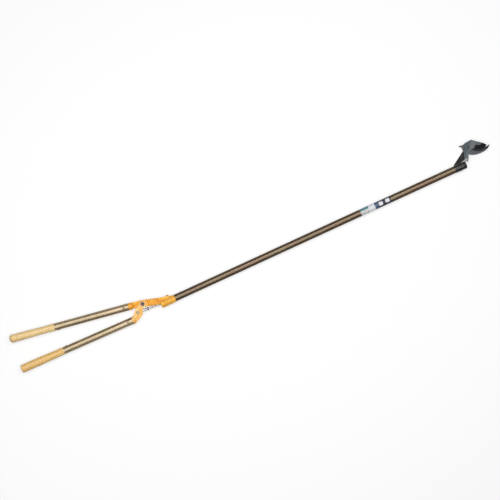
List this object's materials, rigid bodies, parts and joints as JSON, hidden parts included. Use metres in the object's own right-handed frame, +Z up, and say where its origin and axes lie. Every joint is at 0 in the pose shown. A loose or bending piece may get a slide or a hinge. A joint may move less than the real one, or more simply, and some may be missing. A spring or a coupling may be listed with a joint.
{
  "type": "long reach pruner",
  "caption": "Two-handed long reach pruner: handles at the rear of a fixed pole work a rod that closes a bypass blade on a hook.",
  "frame": {"origin": "centre of the overall box, on the surface that the tool lies on", "axes": "+X along the pole towards the head, +Y towards the fixed handle, +Z up along the pivot bolts, the tool lying flat"},
  "size_m": [1.8532, 0.15, 0.03],
  "materials": {
    "bronze_anodised": "dark bronze anodised, satin",
    "champagne_anodised": "champagne anodised, satin",
    "orange_casting": "gloss orange powder coat on die-cast aluminium",
    "turned_beech": "turned, clear lacquered",
    "black_casting": "black gloss coat on steel",
    "coated_blade": "grey non-stick coat with a ground bevel",
    "hook_steel": "grey phosphate coat with a ground bevel",
    "zinc_steel": "zinc plated",
    "coated_bolt": "grey coated",
    "bright_rod": "bright drawn",
    "dark_steel": "black oxide",
    "guide_plastic": "natural acetal",
    "end_plastic": "black, moulded"
  },
  "bodies": {
    "frame": {"main_pole": "bronze_anodised", "fixed_bracket": "orange_casting", "pole_screw": "dark_steel", "handle_bolt": "dark_steel", "handle_nut": "dark_steel", "handle_washer_upper": "zinc_steel", "handle_washer_lower": "zinc_steel", "fixed_tube": "champagne_anodised", "fixed_tube_rivet": "zinc_steel", "fixed_grip": "turned_beech", "fixed_grip_screw": "dark_steel", "rod_bush_rear": "guide_plastic", "rod_bush_mid_rear": "guide_plastic", "rod_bush_mid_front": "guide_plastic", "rod_bush_front": "guide_plastic", "head_socket": "black_casting", "ferrule_rivet": "zinc_steel", "side_rivet": "zinc_steel", "pole_plug": "end_plastic", "hook_jaw": "hook_steel", "hook_rivet": "zinc_steel", "blade_washer": "coated_bolt", "blade_bolt": "coated_bolt", "blade_nut": "zinc_steel"},
    "lever": {"lever_casting": "orange_casting", "lever_tube": "champagne_anodised", "lever_tube_rivet": "zinc_steel", "lever_grip": "turned_beech", "lever_grip_screw": "dark_steel", "link_pin": "zinc_steel", "link_pin_clip": "zinc_steel"},
    "rear_link": {"link_eye": "bright_rod", "lock_nut": "dark_steel", "rear_link": "bright_rod"},
    "rod": {"rod_clevis": "bright_rod", "clevis_pin": "bright_rod", "rear_rod_nut": "dark_steel", "pull_rod": "bright_rod", "rod_eye": "bright_rod", "front_rod_nut": "dark_steel"},
    "blade": {"cutting_blade": "coated_blade"},
    "front_link": {"link_strap_upper": "bright_rod", "link_strap_lower": "bright_rod", "rod_end_rivet": "zinc_steel", "tang_rivet": "zinc_steel"}
  },
  "joints": [
    {"name": "lever_hinge", "type": "hinge", "parent": "frame", "child": "lever", "pos_m": [-0.43667, -0.02124, 0.015], "axis": [0, 0, 1], "range_deg": [0, 36]},
    {"name": "rod_slide", "type": "slide", "parent": "frame", "child": "rod", "axis": [1, 0, 0], "range_m": [0, 0.01735]},
    {"name": "blade_hinge", "type": "hinge", "parent": "frame", "child": "blade", "pos_m": [0.84883, 0.00276, 0.015], "axis": [0, 0, 1], "range_deg": [0, 25.3]},
    {"name": "rear_link_hinge", "type": "hinge", "parent": "lever", "child": "rear_link", "pos_m": [-0.46467, -0.04174, 0.015], "axis": [0, 0, 1], "range_deg": [-28.9, 0]},
    {"name": "front_link_hinge", "type": "hinge", "parent": "blade", "child": "front_link", "pos_m": [0.83013, -0.03544, 0.015], "axis": [0, 0, 1], "range_deg": [-30.7, 0]}
  ],
  "couplings": [
    {"joint": "rod_slide", "follows": "lever_hinge", "m_per_rad": 0.027295},
    {"joint": "blade_hinge", "follows": "lever_hinge", "ratio": 0.7},
    {"joint": "rear_link_hinge", "follows": "lever_hinge", "ratio": -0.8},
    {"joint": "front_link_hinge", "follows": "lever_hinge", "ratio": -0.85}
  ]
}
